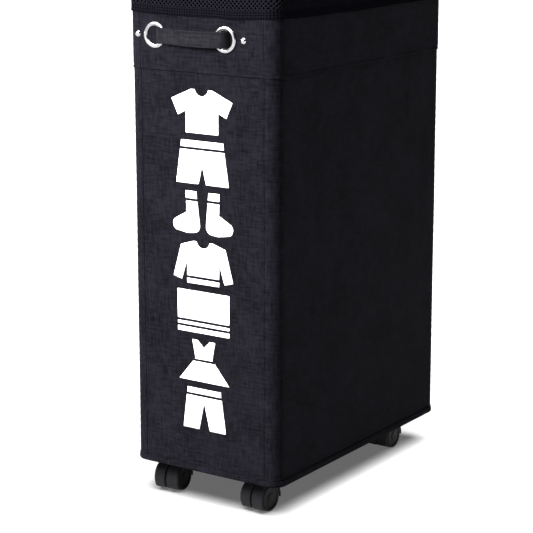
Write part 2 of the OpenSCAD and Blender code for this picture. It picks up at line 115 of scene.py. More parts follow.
def add_lamp(name, kind, place, target, power, size, colour=(1, 1, 1)):
    lamp = bpy.data.lights.new(name, kind)
    lamp.energy = power
    lamp.color = colour
    if kind == "SUN":
        lamp.angle = size
    else:
        lamp.shape = "DISK"
        lamp.size = size
    item = bpy.data.objects.new(name, lamp)
    item.location = place
    item.rotation_euler = (Vector(target) - Vector(place)).to_track_quat("-Z", "Y").to_euler()
    bpy.context.scene.collection.objects.link(item)
    return item


def add_studio():
    scene = bpy.context.scene
    scene.view_settings.view_transform = "Standard"
    scene.world = studio_world()
    add_lamp("overhead", "SUN", (0.2, -0.3, 3.0), (0, 0, 0), 6.3, math.radians(70))
    add_lamp("front_softbox", "AREA", (-0.75, -1.5, 1.15), (-0.02, -0.17, 0.44), 215, 0.7)


def studio_world():
    """A white backdrop that gives a weak light: stronger from above than from the sides."""
    world = bpy.data.worlds.new("studio")
    world.use_nodes = True
    tree = world.node_tree
    backdrop = tree.nodes["Background"]
    backdrop.inputs["Color"].default_value = (1, 1, 1, 1)
    split = tree.nodes.new("ShaderNodeSeparateXYZ")
    tree.links.new(tree.nodes.new("ShaderNodeTexCoord").outputs["Generated"], split.inputs[0])
    fade = tree.nodes.new("ShaderNodeMapRange")
    fade.inputs["From Min"].default_value = 0.1
    fade.inputs["To Min"].default_value = 0.012
    fade.inputs["To Max"].default_value = 0.016
    tree.links.new(split.outputs[2], fade.inputs["Value"])
    seen = tree.nodes.new("ShaderNodeMix")
    tree.links.new(tree.nodes.new("ShaderNodeLightPath").outputs["Is Camera Ray"], seen.inputs["Factor"])
    tree.links.new(fade.outputs[0], seen.inputs["A"])
    seen.inputs["B"].default_value = 1.0
    tree.links.new(seen.outputs[0], backdrop.inputs["Strength"])
    return world


def add_floor():
    reach = 14
    mesh = bpy.data.meshes.new("studio_floor")
    mesh.from_pydata([(-reach, -reach, 0), (reach, -reach, 0), (reach, reach, 0), (-reach, reach, 0)],
                     [], [(0, 1, 2, 3)])
    floor = bpy.data.objects.new("studio_floor", mesh)
    bpy.context.scene.collection.objects.link(floor)
    floor.data.materials.append(paper_material())
    keep_off_front_light(floor)


def keep_off_front_light(floor):
    """The front softbox lights the bag alone, and not the floor, the hoods or the wheels."""
    unlit = bpy.data.collections.new("without_front_light")
    unlit.objects.link(floor)
    for name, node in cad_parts.items():
        if name.startswith(("hood_", "wheel_")):
            unlit.objects.link(node)
    for linked in unlit.collection_objects:
        linked.light_linking.link_state = "EXCLUDE"
    bpy.data.objects["front_softbox"].light_linking.receiver_collection = unlit


# ---------- materials ----------

class Nodes:
    """A material's node tree with a few short ways to add to it."""

    def __init__(self, name):
        self.material = bpy.data.materials.new(name)
        self.material.use_nodes = True
        self.tree = self.material.node_tree
        self.shader = self.tree.nodes["Principled BSDF"]

    def add(self, kind, **values):
        node = self.tree.nodes.new(kind)
        for key, value in values.items():
            setattr(node, key, value)
        return node

    def link(self, source, target):
        self.tree.links.new(source, target)

    def set(self, **values):
        for key, value in values.items():
            self.shader.inputs[key.replace("_", " ")].default_value = value

    def math(self, operation, a, b=None, clamp=False):
        node = self.add("ShaderNodeMath", operation=operation, use_clamp=clamp)
        for socket, value in zip(node.inputs, (a, b)):
            if value is None:
                continue
            if isinstance(value, (int, float)):
                socket.default_value = value
            else:
                self.link(value, socket)
        return node.outputs[0]

    def times(self, a, b):
        return self.math("MULTIPLY", a, b)

    def plus(self, a, b):
        return self.math("ADD", a, b)

    def cloth_axes(self):
        """The cloth's own coordinates, in metres along and up it."""
        split = self.add("ShaderNodeSeparateXYZ")
        self.link(self.add("ShaderNodeUVMap", uv_map="cloth").outputs[0], split.inputs[0])
        return split.outputs[0], split.outputs[1]

    def noise(self, scale, detail=3.0, roughness=0.55, stretch=(1, 1, 1), place=None):
        mapping = self.add("ShaderNodeMapping")
        mapping.inputs["Scale"].default_value = stretch
        self.link(place or self.add("ShaderNodeTexCoord").outputs["Object"], mapping.inputs["Vector"])
        node = self.add("ShaderNodeTexNoise")
        node.inputs["Scale"].default_value = scale
        node.inputs["Detail"].default_value = detail
        node.inputs["Roughness"].default_value = roughness
        self.link(mapping.outputs[0], node.inputs["Vector"])
        return node.outputs[0]

    def yarns(self, scale, stretch):
        """Uneven thickness of the yarns that run one way through a cloth."""
        place = self.add("ShaderNodeUVMap", uv_map="cloth").outputs[0]
        return self.noise(scale, 2, 0.5, (*stretch, 1), place)

    def ramp(self, source, low, high, start=0.3, stop=0.7):
        """A colour that runs from low to high as source runs from start to stop."""
        node = self.add("ShaderNodeValToRGB")
        node.color_ramp.elements[0].position = start
        node.color_ramp.elements[1].position = stop
        node.color_ramp.elements[0].color = (*low, 1)
        node.color_ramp.elements[1].color = (*high, 1)
        self.link(source, node.inputs[0])
        return node.outputs[0]

    def span(self, source, low, high):
        node = self.add("ShaderNodeMapRange")
        node.inputs["To Min"].default_value = low
        node.inputs["To Max"].default_value = high
        self.link(source, node.inputs["Value"])
        return node.outputs[0]

    def bump(self, height, distance, strength=1.0, under=None):
        node = self.add("ShaderNodeBump")
        node.inputs["Distance"].default_value = distance
        node.inputs["Strength"].default_value = strength
        self.link(height, node.inputs["Height"])
        if under is not None:
            self.link(under, node.inputs["Normal"])
        return node.outputs[0]

    def finish(self, colour, roughness, normal):
        for source, name in ((colour, "Base Color"), (roughness, "Roughness"), (normal, "Normal")):
            if source is not None:
                self.link(source, self.shader.inputs[name])
        return self.material


def weave_height(n, pitch):
    """Height of a plain weave: warp and weft threads that pass over each other in turn."""
    u, v = n.cloth_axes()
    along, up = n.math("DIVIDE", u, pitch), n.math("DIVIDE", v, pitch)
    warp = n.math("ABSOLUTE", n.math("SINE", n.times(along, math.pi)))
    weft = n.math("ABSOLUTE", n.math("SINE", n.times(up, math.pi)))
    cells = n.plus(n.math("FLOOR", along), n.math("FLOOR", up))
    odd = n.math("ABSOLUTE", n.math("MODULO", cells, 2.0))
    over_warp = n.times(warp, n.plus(n.times(weft, 0.5), 0.5))
    over_weft = n.times(weft, n.plus(n.times(warp, 0.5), 0.5))
    return n.plus(n.times(over_warp, odd),
                  n.times(over_weft, n.math("SUBTRACT", 1.0, odd)))


def cloth_material(name, dark, light, pitch, depth, rough=(0.72, 0.9), specular=0.02):
    """Woven cloth: thread relief, slubby yarns both ways, and a faint change of tone over the panel."""
    n = Nodes(name)
    n.set(Specular_IOR_Level=specular)
    weave = weave_height(n, pitch)
    warp = n.yarns(420, (1, 0.16))
    weft = n.yarns(420, (0.16, 1))
    broad = n.noise(28, 4, 0.6)
    slub = n.times(n.plus(warp, weft), 0.5)
    tone = n.plus(n.times(slub, 0.62),
                  n.plus(n.times(weave, 0.14), n.times(broad, 0.24)))
    colour = n.ramp(tone, dark, light, 0.38, 0.6)
    height = n.plus(weave, n.times(slub, 1.2))
    return n.finish(colour, n.span(tone, *rough), n.bump(height, depth))


def knit_material(name, dark, light):
    """Fine knit: short slanting loops in upright columns."""
    n = Nodes(name)
    n.set(Specular_IOR_Level=0.0)
    u, v = n.cloth_axes()
    column = n.math("ABSOLUTE", n.math("SINE", n.times(u, math.pi / (3.2 * MM))))
    slant = n.plus(n.times(v, 2 * math.pi / (2.6 * MM)), n.times(column, 2.6))
    loops = n.plus(n.times(n.math("SINE", slant), 0.5), column)
    grain = n.noise(700, 3, 0.65)
    tone = n.plus(n.times(loops, 0.35), n.times(grain, 0.6))
    return n.finish(n.ramp(tone, dark, light, 0.25, 0.75), n.span(grain, 0.7, 0.95),
                    n.bump(n.plus(loops, grain), 0.35 * MM))


def yarn_material(name, dark, light):
    """Twisted filament yarn."""
    n = Nodes(name)
    n.set(Specular_IOR_Level=0.0)
    fibre = n.noise(1500, 2, 0.6, stretch=(1, 1, 0.35))
    return n.finish(n.ramp(fibre, dark, light), n.span(fibre, 0.45, 0.75), n.bump(fibre, 0.08 * MM))


def ink_material():
    """Screen print laid over cloth: the threads show through as a fine relief."""
    n = Nodes("white_ink")
    n.set(Specular_IOR_Level=0.3)
    weave = weave_height(n, 0.62 * MM)
    patch = n.noise(120, 4, 0.6)
    return n.finish(n.ramp(patch, (0.86, 0.86, 0.87), (0.93, 0.93, 0.93)), n.span(patch, 0.5, 0.68),
                    n.bump(weave, 0.05 * MM))


def metal_material(name, dark, light, rough, scratch_stretch, depth):
    n = Nodes(name)
    n.set(Metallic=1.0)
    scratch = n.noise(420, 5, 0.7, stretch=scratch_stretch)
    smudge = n.noise(60, 3, 0.6)
    return n.finish(n.ramp(smudge, dark, light), n.span(n.plus(n.times(scratch, 0.6),
                    n.times(smudge, 0.4)), *rough), n.bump(scratch, depth))


def moulded_material(name, dark, light, rough, depth, specular=0.5):
    """Moulded plastic with a spark-eroded grain and slight handling wear."""
    n = Nodes(name)
    n.set(Specular_IOR_Level=specular)
    grain = n.noise(1800, 2, 0.5)
    wear = n.noise(90, 5, 0.65)
    return n.finish(n.ramp(wear, dark, light), n.span(wear, *rough), n.bump(grain, depth))


def board_material():
    """Fluted plastic board with its grain upright."""
    n = Nodes("fluted_board")
    flute = n.noise(300, 2, 0.5, stretch=(1, 1, 0.02))
    return n.finish(n.ramp(flute, (0.3, 0.3, 0.31), (0.38, 0.38, 0.39)), n.span(flute, 0.45, 0.65),
                    n.bump(flute, 0.2 * MM))


def paper_material():
    """White paper with a painted glow, so that no shadow on it is darker than mid grey."""
    n = Nodes("floor_paper_painted_glow")
    # The emission is a painted glow that lifts the floor's shadows in place of fill light.
    n.set(Specular_IOR_Level=0.0, Emission_Color=(1, 1, 1, 1), Emission_Strength=0.13)
    grain = n.noise(40, 2, 0.5)
    return n.finish(n.ramp(grain, (0.9, 0.9, 0.9), (0.92, 0.92, 0.92)), n.span(grain, 0.9, 1.0), None)


def make_materials():
    return {
        "oxford": cloth_material(
            "black_oxford", (0.0008, 0.00075, 0.0013), (0.0055, 0.0052, 0.0075), 0.62 * MM, 0.16 * MM),
        # The facing's near-black colour is painted shade: it stands for the shadow inside the net collar.
        "facing": cloth_material(
            "facing_painted_shade", (0.0003, 0.0003, 0.0005), (0.001, 0.001, 0.0014), 0.4 * MM, 0.1 * MM,
            specular=0.0),
        "lining": cloth_material(
            "black_lining", (0.004, 0.004, 0.005), (0.012, 0.012, 0.014), 0.35 * MM, 0.06 * MM,
            (0.5, 0.7), 0.1),
        "strap": cloth_material(
            "strap_oxford", (0.0010, 0.0009, 0.0015), (0.0078, 0.0075, 0.0098), 0.55 * MM, 0.16 * MM,
            (0.62, 0.82), 0.04),
        "knit": knit_material("hem_knit", (0.0002, 0.0002, 0.0003), (0.0034, 0.0033, 0.0048)),
        "yarn": yarn_material("mesh_yarn", (0.0024, 0.0023, 0.0034), (0.0082, 0.0079, 0.0108)),
        "thread": yarn_material("sewing_thread", (0.0026, 0.0025, 0.0034), (0.0066, 0.0064, 0.0082)),
        "ink": ink_material(),
        "nickel": metal_material(
            "nickel", (0.26, 0.26, 0.27), (0.46, 0.46, 0.47), (0.14, 0.28), (1, 1, 1), 0.01 * MM),
        "rod": metal_material(
            "drawn_steel", (0.5, 0.51, 0.53), (0.66, 0.67, 0.69), (0.25, 0.4), (1, 1, 0.05), 0.02 * MM),
        "zinc": metal_material(
            "zinc_plate", (0.58, 0.59, 0.61), (0.74, 0.75, 0.77), (0.2, 0.38), (1, 1, 1), 0.03 * MM),
        "fitting": moulded_material(
            "fitting_plastic", (0.006, 0.006, 0.007), (0.011, 0.011, 0.012), (0.4, 0.55), 0.03 * MM, 0.2),
        "hood": moulded_material(
            "hood_nylon", (0.0155, 0.0144, 0.0172), (0.0262, 0.0244, 0.0288), (0.42, 0.58), 0.02 * MM, 0.1),
        "wheel": moulded_material(
            "wheel_nylon", (0.003, 0.003, 0.0035), (0.007, 0.007, 0.008), (0.45, 0.62), 0.03 * MM, 0.12),
        "board": board_material(),
    }


# ---------- mesh helpers ----------

def smoothstep(x):
    x = max(0.0, min(1.0, x))
    return x * x * (3 - 2 * x)


def ripple(point, size, height, shift=0.0):
    """Smooth noise at a point, with features about size long."""
    return height * noise.noise(Vector(point) / size + Vector((shift, 2.3 * shift, 0.7 * shift)))


def new_object(name, vertices, faces, uvs=None):
    mesh = bpy.data.meshes.new(name)
    mesh.from_pydata([tuple(v) for v in vertices], [], faces)
    if uvs:
        layer = mesh.uv_layers.new(name="cloth")
        layer.data.foreach_set("uv", [c for pair in uvs for c in pair])
    mesh.polygons.foreach_set("use_smooth", [True] * len(mesh.polygons))
    mesh.update()
    item = bpy.data.objects.new(name, mesh)
    bpy.context.scene.collection.objects.link(item)
    return item


def loft(name, rows, us, vs, closed=False):
    """A sheet through rows of points. us and vs are the cloth's own coordinates of its columns and rows."""
    across = len(rows[0])
    faces, uvs = [], []
    for j in range(len(rows) - 1):
        for i in range(across if closed else across - 1):
            k = (i + 1) % across
            faces.append((j * across + i, j * across + k, (j + 1) * across + k, (j + 1) * across + i))
            uvs += [(us[i], vs[j]), (us[i + 1], vs[j]), (us[i + 1], vs[j + 1]), (us[i], vs[j + 1])]
    return new_object(name, [p for row in rows for p in row], faces, uvs)


def cap_ends(item, count, face_outwards=False):
    """Closes both ends of a tube lofted through rings of count points."""
    bm = bmesh.new()
    bm.from_mesh(item.data)
    bm.verts.ensure_lookup_table()
    vertices = bm.verts[:]
    bm.faces.new(vertices[count - 1::-1])
    bm.faces.new(vertices[-count:])
    if face_outwards:
        bmesh.ops.recalc_face_normals(bm, faces=bm.faces)
    bm.to_mesh(item.data)
    bm.free()
    return item


def join(name, items):
    """One object from several, named name."""
    for item in bpy.context.selected_objects:
        item.select_set(False)
    for item in items:
        item.select_set(True)
    bpy.context.view_layer.objects.active = items[0]
    bpy.ops.object.join()
    items[0].name = name
    items[0].data.name = name
    return items[0]


def thicken(item, thickness, offset=-1.0):
    solid = item.modifiers.new("thickness", "SOLIDIFY")
    solid.thickness = thickness
    solid.offset = offset
    solid.use_even_offset = True
    return item


def dress(item, material, body="bag", replaces=()):
    item.data.materials.clear()
    item.data.materials.append(MATERIALS[material])
    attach(item, body)
    if replaces:
        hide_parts(*replaces)
    return item


def steps(low, high, step, edge=(0.3, 0.7, 1.2, 2.0, 3.2)):
    """Values from low to high about step apart, and closer at both ends, where cloth turns in."""
    near = [e * MM for e in edge]
    inner_low, inner_high = low + near[-1], high - near[-1]
    count = max(1, round((inner_high - inner_low) / step))
    middle = [inner_low + (inner_high - inner_low) * i / count for i in range(count + 1)]
    return [low] + [low + e for e in near[:-1]] + middle + [high - e for e in near[-2::-1]] + [high]


# ---------- outlines of the bag ----------

class Outline:
    """The bag's rounded outline in plan. s runs to the right round the bag from the middle of the front."""

    def __init__(self, half_w, half_d, radius):
        self.flat_x, self.flat_y, self.radius = half_w - radius, half_d - radius, radius
        self.bend = radius * math.pi / 2
        self.half = 2 * (self.flat_x + self.flat_y + self.bend)
        self.length = 2 * self.half

    def at(self, s, out=0.0):
        """The point (x, y) that lies out metres outside the outline at s, and the outward normal there."""
        s %= self.length
        turn = -1 if s >= self.half else 1
        s %= self.half
        radius, bend = self.radius, self.bend
        if s < self.flat_x:
            x, y, nx, ny = s, -self.flat_y - radius, 0, -1
        elif s < self.flat_x + bend:
            a = (s - self.flat_x) / radius
            nx, ny = math.sin(a), -math.cos(a)
            x, y = self.flat_x + radius * nx, -self.flat_y + radius * ny
        elif s < self.flat_x + bend + 2 * self.flat_y:
            x, y, nx, ny = self.flat_x + radius, s - self.flat_x - bend - self.flat_y, 1, 0
        elif s < self.half - self.flat_x:
            a = (s - self.flat_x - bend - 2 * self.flat_y) / radius
            nx, ny = math.cos(a), math.sin(a)
            x, y = self.flat_x + radius * nx, self.flat_y + radius * ny
        else:
            x, y, nx, ny = self.half - s, self.flat_y + radius, 0, 1
        return turn * (x + out * nx), turn * (y + out * ny), turn * nx, turn * ny

    def point(self, s, out, z):
        x, y, _, _ = self.at(s, out)
        return Vector((x, y, z))


BAG = Outline(HALF_W, HALF_D, CORNER_R)
# The seams round the bag: a panel on each face, and between them the strips that hold the rods.
FRONT_SEAM = PANEL_X
SIDE_SEAM = BAG.flat_x + CORNER_R * (math.pi / 2 - math.asin((SIDE_SEAM_Y - BAG.flat_y) / CORNER_R))
SEAMS = [-FRONT_SEAM, FRONT_SEAM, SIDE_SEAM, BAG.half - SIDE_SEAM, BAG.half - FRONT_SEAM]
SEAMS += [BAG.half + s for s in SEAMS[1:]]
PATCHES = ["front", "strip_front_right", "right", "strip_back_right", "back", "strip_back_left", "left",
           "strip_front_left"]
CELL_PATH = 2 * (INNER_D - CELL_Y - CELL_R) + CELL_R * math.pi / 2
CELL_START = CELL_X
CELL_STOP = BAG.flat_x + BAG.bend + BAG.flat_y - CELL_Y


def inside_corner(t):
    """The point t metres along the lining round the front right rod sleeve."""
    leg = INNER_D - CELL_Y - CELL_R
    if t < leg:
        return CELL_X, -INNER_D + t
    if t < leg + CELL_R * math.pi / 2:
        a = (t - leg) / CELL_R
        return CELL_X + CELL_R - CELL_R * math.cos(a), -CELL_Y - CELL_R + CELL_R * math.sin(a)
    return CELL_X + CELL_R + (t - leg - CELL_R * math.pi / 2), -CELL_Y


def inside_at(s):
    """The lining's point (x, y) across the wall from s."""
    s %= BAG.length
    turn = -1 if s >= BAG.half else 1
    s %= BAG.half
    mirrored = s > BAG.half / 2
    if mirrored:
        s = BAG.half - s
    if s < CELL_START:
        x, y = s, -INNER_D
    elif s < CELL_STOP:
        x, y = inside_corner((s - CELL_START) / (CELL_STOP - CELL_START) * CELL_PATH)
        x = min(x, INNER_W)
    else:
        x, y = INNER_W, s - BAG.flat_x - BAG.bend - BAG.flat_y
    return turn * x, turn * (-y if mirrored else y)


def inside_point(s, inset, z):
    """As Outline.point, for the lining: inset metres into the bag."""
    reach = 1.6 * MM
    (x0, y0), (x1, y1) = inside_at(s - reach), inside_at(s + reach)
    length = math.hypot(x1 - x0, y1 - y0)
    x, y = ((x0 + x1) / 2, (y0 + y1) / 2)
    return Vector((x - (y1 - y0) / length * inset, y + (x1 - x0) / length * inset, z))


def wrap(name, rows, ss, lengths):
    """A sheet that runs once round the bag, through rows of points at the places ss."""
    return loft(name, rows, ss + [BAG.length], lengths, closed=True)


def around(spacing):
    """Places about spacing apart round the whole bag, closer round its corners."""
    count = round(BAG.length / spacing / 4) * 4
    return [BAG.length * i / count for i in range(count)]


# ---------- outer cloth ----------

def slack(s, z, face):
    """How far stretched cloth stands off its board: broad soft swells and upright pulls by the rods."""
    x, y, _, _ = BAG.at(s)
    swell = ripple((x, y, z), 85 * MM, 0.75 * MM, face) + ripple((x, y, z), 30 * MM, 0.22 * MM, face + 3)
    pulls = ripple((x / (16 * MM), y / (16 * MM), z / (110 * MM)), 1, 0.2 * MM, face + 7)
    return swell + pulls


def puckers(along, distance, shift):
    """Small gathers that a line of sewing draws into the cloth beside it."""
    wave = 8.5 * MM
    phase = 2 * math.pi * along / wave + 3 * noise.noise(Vector((along / (26 * MM), shift, 0)))
    weight = 0.6 + 0.4 * noise.noise(Vector((along / (60 * MM), 9.1, shift)))
    return 0.34 * MM * weight * math.sin(phase) * math.exp(-distance / (4.5 * MM))


def tuck(distance, width=1.0 * MM, depth=0.45 * MM):
    """The edge of a panel rolls in to its seam as a quarter round."""
    if distance >= width:
        return 0.0
    return -depth * (1 - math.sqrt(max(0.0, 1 - (1 - distance / width) ** 2)))


def panel_out(s, z, index):
    """How far the outer face of the body's cloth stands outside the bag's outline."""
    left, right = SEAMS[index], SEAMS[index + 1]
    sideways = min(s - left, right - s)
    upward = min(z - BINDING_TOP + 2 * MM, SEAM_Z - z + 1.5 * MM)
    calm = smoothstep(sideways / (14 * MM)) * smoothstep(upward / (14 * MM))
    narrow = index % 2 == 1
    relief = 0.25 * slack(s, z, index) if narrow else slack(s, z, index) * calm
    swell = 0.35 * MM * math.sin(math.pi * (s - left) / (right - left)) if narrow else 0.0
    side_seam = left if index in (2, 6) or narrow and index in (3, 7) else right
    strength = 1.0 if abs(s - side_seam) < sideways + 1e-6 else 0.55
    return (relief + swell + strength * puckers(z, max(sideways, 0), index % 4) + tuck(max(sideways, 0))
            + puckers(s, max(upward, 0), 5))


def band_out(s, z, index):
    """The same for the folded band: a rolled lower lip, a stitched groove over it, and flat cloth above."""
    left, right = SEAMS[index], SEAMS[index + 1]
    sideways = max(min(s - left, right - s), 0)
    rise = z - SEAM_Z
    lip = 0.5 * MM * math.sin(math.pi * min(rise / (2.4 * MM), 1))
    groove = -0.45 * MM * math.exp(-((rise - 3.0 * MM) / (0.55 * MM)) ** 2)
    narrow = index % 2 == 1
    calm = smoothstep(sideways / (12 * MM)) * smoothstep(rise / (10 * MM))
    relief = (0.2 if narrow else 0.7 * calm) * slack(s, z + 0.3, index)
    return (BAND_OUT + relief + lip + groove + tuck(rise, 1.1 * MM, 0.9 * MM)
            + 0.6 * puckers(z, sideways, index % 4) + 0.8 * tuck(sideways)
            + 0.9 * puckers(s, abs(rise - 3 * MM), 4))


def wall_sheet(name, index, z_low, z_high, z_step, out):
    """One panel's cloth between two seams."""
    ss = steps(SEAMS[index], SEAMS[index + 1], 4 * MM if index % 2 == 0 else 1.6 * MM)
    zs = steps(z_low, z_high, z_step)
    rows = [[BAG.point(s, out(s, z, index), z) for s in ss] for z in zs]
    return thicken(loft(name, rows, ss, zs), CLOTH_T)


def make_outer_cloth():
    strips = []
    low, high = BINDING_TOP - 2 * MM, SEAM_Z + 1.5 * MM
    for index, patch in enumerate(PATCHES):
        sheet = wall_sheet("cloth_" + patch, index, low, high, 2.4 * MM, panel_out)
        if index % 2:
            strips.append(sheet)
            continue
        dress(sheet, "oxford", replaces=[patch + "_panel"])
    sleeves = dress(join("cloth_rod_sleeves", strips), "oxford", replaces=["corner_sleeves"])


def make_band():
    top = HEM_Z + 6 * MM
    sheets = [wall_sheet("band_" + patch, i, SEAM_Z, top, 1.9 * MM, band_out)
              for i, patch in enumerate(PATCHES)]
    band = dress(join("top_band_cloth", sheets), "oxford", replaces=["top_band"])


def make_rim():
    """Facing from the band over the rim and down inside, under the mesh. Its near-black colour is painted shade
    under the net.
    """
    ss = around(4 * MM)
    start = (HEM_Z + 3 * MM - RIM_Z) / MM
    profile = [(0, 0.9, start), (0, 0.9, start + 10), (0, 1.0, -16), (0, 0.9, -2), (0, 0.6, 1.2), (0, 0.1, 2.4),
               (0.2, 0, 2.8), (0.5, 0, 2.9), (0.8, 0, 2.8),
               (1, -0.1, 2.3), (1, 0.2, 1.1), (1, 0.3, -2), (1, 0.3, -14)]
    rows, lengths = [], [0.0]
    for across, out, rise in profile:
        z = RIM_Z + rise * MM
        row = []
        for s in ss:
            outer = BAG.point(s, out * MM, z)
            inner = inside_point(s, out * MM, z)
            row.append(outer.lerp(inner, across))
        if rows:
            lengths.append(lengths[-1] + (row[0] - rows[-1][0]).length)
        rows.append(row)
    facing = thicken(wrap("rim_cloth", rows, ss, lengths), 0.7 * MM)
    dress(facing, "facing")


def make_binding():
    """Tape folded round the bag's lower edge, and stitched through."""
    ss = around(2.2 * MM)
    width = 5 * MM
    profile = [(0.35, BINDING_TOP - 0.3 * MM), (0.95, BINDING_TOP), (1.2, BINDING_TOP - 0.5 * MM),
               (0.95, BINDING_TOP - 1.6 * MM), (1.25, BINDING_TOP - 2.6 * MM), (1.45, BAG_Z + 1.6 * MM),
               (1.3, BAG_Z + 0.2 * MM), (0.5, BINDING_LOW), (-0.6, BINDING_LOW - 0.1 * MM),
               (-2.4, BINDING_LOW), (-0.9 * width / MM, BINDING_LOW + 0.1 * MM),
               (-width / MM, BINDING_LOW + 0.5 * MM),
               (-width / MM - 0.1, BAG_Z - 0.1 * MM)]
    rows, lengths = [], [0.0]
    for j, (out, z) in enumerate(profile):
        wobble = [puckers(s, abs(z - BINDING_TOP + 1.6 * MM), 8) for s in ss]
        rows.append([BAG.point(s, out * MM + (w if j > 1 else 0), z) for s, w in zip(ss, wobble)])
        if j:
            lengths.append(lengths[-1] - math.hypot((out - profile[j - 1][0]) * MM, z - profile[j - 1][1]))
    rows.reverse()
    lengths.reverse()
    tape = thicken(wrap("bottom_binding_tape", rows, ss, lengths), 0.5 * MM)
    dress(tape, "oxford", replaces=["bottom_binding"])


def make_underside():
    """Cloth under the base board, held flat by it and sagging a little between the casters."""
    xs = steps(-HALF_W + 3 * MM, HALF_W - 3 * MM, 6 * MM)
    ys = steps(-HALF_D + 3 * MM, HALF_D - 3 * MM, 6 * MM)
    rows = []
    for x in xs:
        row = []
        for y in ys:
            dx, dy = abs(x) - BAG.flat_x, abs(y) - BAG.flat_y
            px, py = x, y
            if dx > 0 and dy > 0:
                reach = max(dx, dy) / math.hypot(dx, dy)
                px = math.copysign(BAG.flat_x + dx * reach, x)
                py = math.copysign(BAG.flat_y + dy * reach, y)
            edge = min(HALF_W - abs(x), HALF_D - abs(y))
            wave = 0.5 + 0.5 * noise.noise(Vector((x, y, 0)) / (45 * MM))
            sag = 0.5 * MM * smoothstep(edge / (30 * MM)) * wave
            row.append(Vector((px, py, BAG_Z + 0.1 * MM - sag)))
        rows.append(row)
    sheet = thicken(loft("underside_cloth", rows, ys, xs), 1.0 * MM)
    dress(sheet, "oxford", replaces=["bottom_panel"])


# ---------- stitches ----------

def stitch_rows(name, rows, length=2.3 * MM, gap=1.1 * MM, radius=0.24 * MM):
    """Short lozenges of thread. A row's function gives the point and normal at a place along it."""
    vertices, faces = [], []
    sides = 6
    rings = [(-0.5, 0.15), (-0.38, 0.75), (0, 1), (0.38, 0.75), (0.5, 0.15)]
    for start, stop, place in rows:
        count = max(1, int((stop - start) / (length + gap)))
        pitch = (stop - start) / count
        for i in range(count):
            middle = start + (i + 0.5) * pitch
            a, normal = place(middle - length / 2)
            b, _ = place(middle + length / 2)
            axis = b - a
            centre = (a + b) / 2
            across = axis.normalized().cross(normal)
            first = len(vertices)
            for along, swell in rings:
                for k in range(sides):
                    turn = 2 * math.pi * k / sides
                    vertices.append(centre + axis * along + radius * swell * (
                        math.cos(turn) * across + (math.sin(turn) * 0.8 + 0.15 * swell) * normal))
            for j in range(len(rings) - 1):
                for k in range(sides):
                    m = (k + 1) % sides
                    corner = first + j * sides
                    faces.append((corner + k, corner + m, corner + sides + m, corner + sides + k))
            faces.append(tuple(first + k for k in reversed(range(sides))))
            faces.append(tuple(first + (len(rings) - 1) * sides + k for k in range(sides)))
    return new_object(name, vertices, faces)


def on_wall(out, index, s=None, z=None, lift=0.05 * MM):
    """A stitch line's place function on a wall: along z at a fixed s, or along s at a fixed z."""
    def place(t):
        here, height = (s, t) if s is not None else (t, z)
        _, _, nx, ny = BAG.at(here)
        patch = index if index is not None else patch_at(here)
        return BAG.point(here, out(here, height, patch) + lift, height), Vector((nx, ny, 0))
    return place


def patch_at(s):
    s = (s + FRONT_SEAM) % BAG.length - FRONT_SEAM
    for i in range(len(PATCHES)):
        if SEAMS[i] <= s <= SEAMS[i + 1]:
            return i
    return len(PATCHES) - 1


BAR_PITCH = 3.8 * MM


def make_seam_stitches():
    """Rows beside every upright seam and along the band, and short bars that close the rod sleeves."""
    rows = []
    beside = 2.2 * MM
    runs = ((BINDING_TOP, SEAM_Z - 1 * MM, panel_out), (SEAM_Z + 4 * MM, HEM_Z + 4 * MM, band_out))
    for i in range(len(PATCHES)):
        panel = (i + i % 2) % len(PATCHES)
        s = SEAMS[i + 1] + (beside if i % 2 else -beside)
        if panel == 0 and i % 2:
            s -= BAG.length
        for low, high, out in runs:
            rows.append((low, high, on_wall(out, panel, s=s)))
    groove = 3 * MM
    rows.append((-FRONT_SEAM, BAG.length - FRONT_SEAM, on_wall(band_out, None, z=SEAM_Z + groove)))
    dress(stitch_rows("seam_stitches", rows), "thread")
    bars = []
    for i in range(1, len(PATCHES), 2):
        s, turn = (SEAMS[i + 1], 1) if i in (1, 5) else (SEAMS[i], -1)
        for k in range(int((SEAM_Z - BINDING_TOP) / BAR_PITCH)):
            z = BINDING_TOP + (k + 0.6) * BAR_PITCH
            near, far = sorted((s - turn * 2.4 * MM, s + turn * 1.0 * MM))
            bars.append((near, far, on_wall(panel_out, i, z=z, lift=0.12 * MM)))
    dress(stitch_rows("corner_bar_stitches", bars, 3.2 * MM, 0.1 * MM, 0.42 * MM), "thread")


# ---------- print ----------

def make_print():
    """The white pictures as a thin film that follows the front panel's cloth."""
    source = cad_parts["printed_pictures"].data
    bm = bmesh.new()
    bm.from_mesh(source)
    bmesh.ops.delete(bm, geom=[f for f in bm.faces if f.normal.y > -0.9], context="FACES")
    bmesh.ops.remove_doubles(bm, verts=bm.verts, dist=0.01 * MM)
    low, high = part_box("printed_pictures")
    pitch = 5 * MM
    for axis, start, stop in ((Vector((1, 0, 0)), low.x, high.x), (Vector((0, 0, 1)), low.z, high.z)):
        for i in range(1, int((stop - start) / pitch) + 1):
            everything = bm.verts[:] + bm.edges[:] + bm.faces[:]
            cut = axis * (start + i * pitch)
            bmesh.ops.bisect_plane(bm, geom=everything, dist=1e-6, plane_co=cut, plane_no=axis)
    layer = bm.loops.layers.uv.new("cloth")
    for face in bm.faces:
        for loop in face.loops:
            loop[layer].uv = (loop.vert.co.x, loop.vert.co.z)
        face.smooth = True
    for vertex in bm.verts:
        vertex.co.y = -HALF_D - panel_out(vertex.co.x, vertex.co.z, 0) - 0.2 * MM
    mesh = bpy.data.meshes.new("printed_pictures_film")
    bm.to_mesh(mesh)
    bm.free()
    film = bpy.data.objects.new("printed_pictures_film", mesh)
    bpy.context.scene.collection.objects.link(film)
    dress(thicken(film, 0.15 * MM), "ink", replaces=["printed_pictures"])


# ---------- mesh collar ----------

